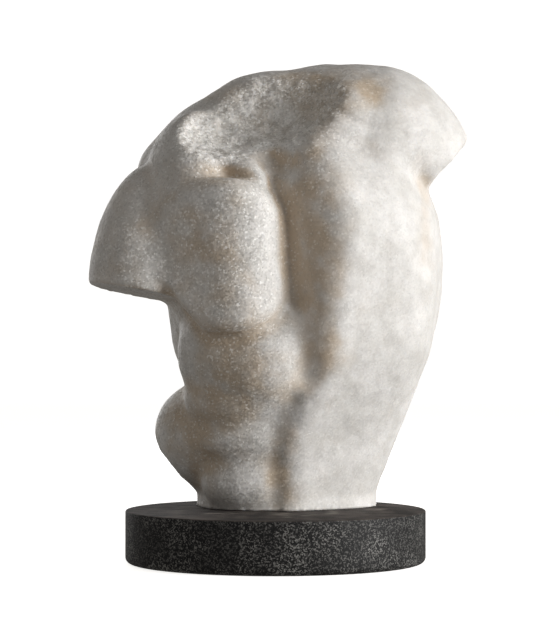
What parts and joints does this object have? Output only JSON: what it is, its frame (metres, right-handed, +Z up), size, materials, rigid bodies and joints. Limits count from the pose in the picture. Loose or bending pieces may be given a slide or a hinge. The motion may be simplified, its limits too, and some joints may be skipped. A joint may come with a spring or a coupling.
{
  "type": "marble torso fragment on plinth",
  "caption": "Carved marble torso fragment of a standing figure, broken at neck, shoulders and hips, set upright on a low round stone plinth.",
  "frame": {"origin": "centre of the plinth's flat underside", "axes": "+Z up, the chest faces -Y, and the raised shoulder is on the +X side"},
  "size_m": [0.3047, 0.24, 0.4026],
  "materials": {
    "marble": "weathered coarse-grained white marble, softly worn, rough at the breaks",
    "plinth_stone": "dark speckled stone, turned and honed, with a duller top face"
  },
  "bodies": {
    "root": {"torso": "marble", "plinth": "plinth_stone"}
  },
  "joints": []
}
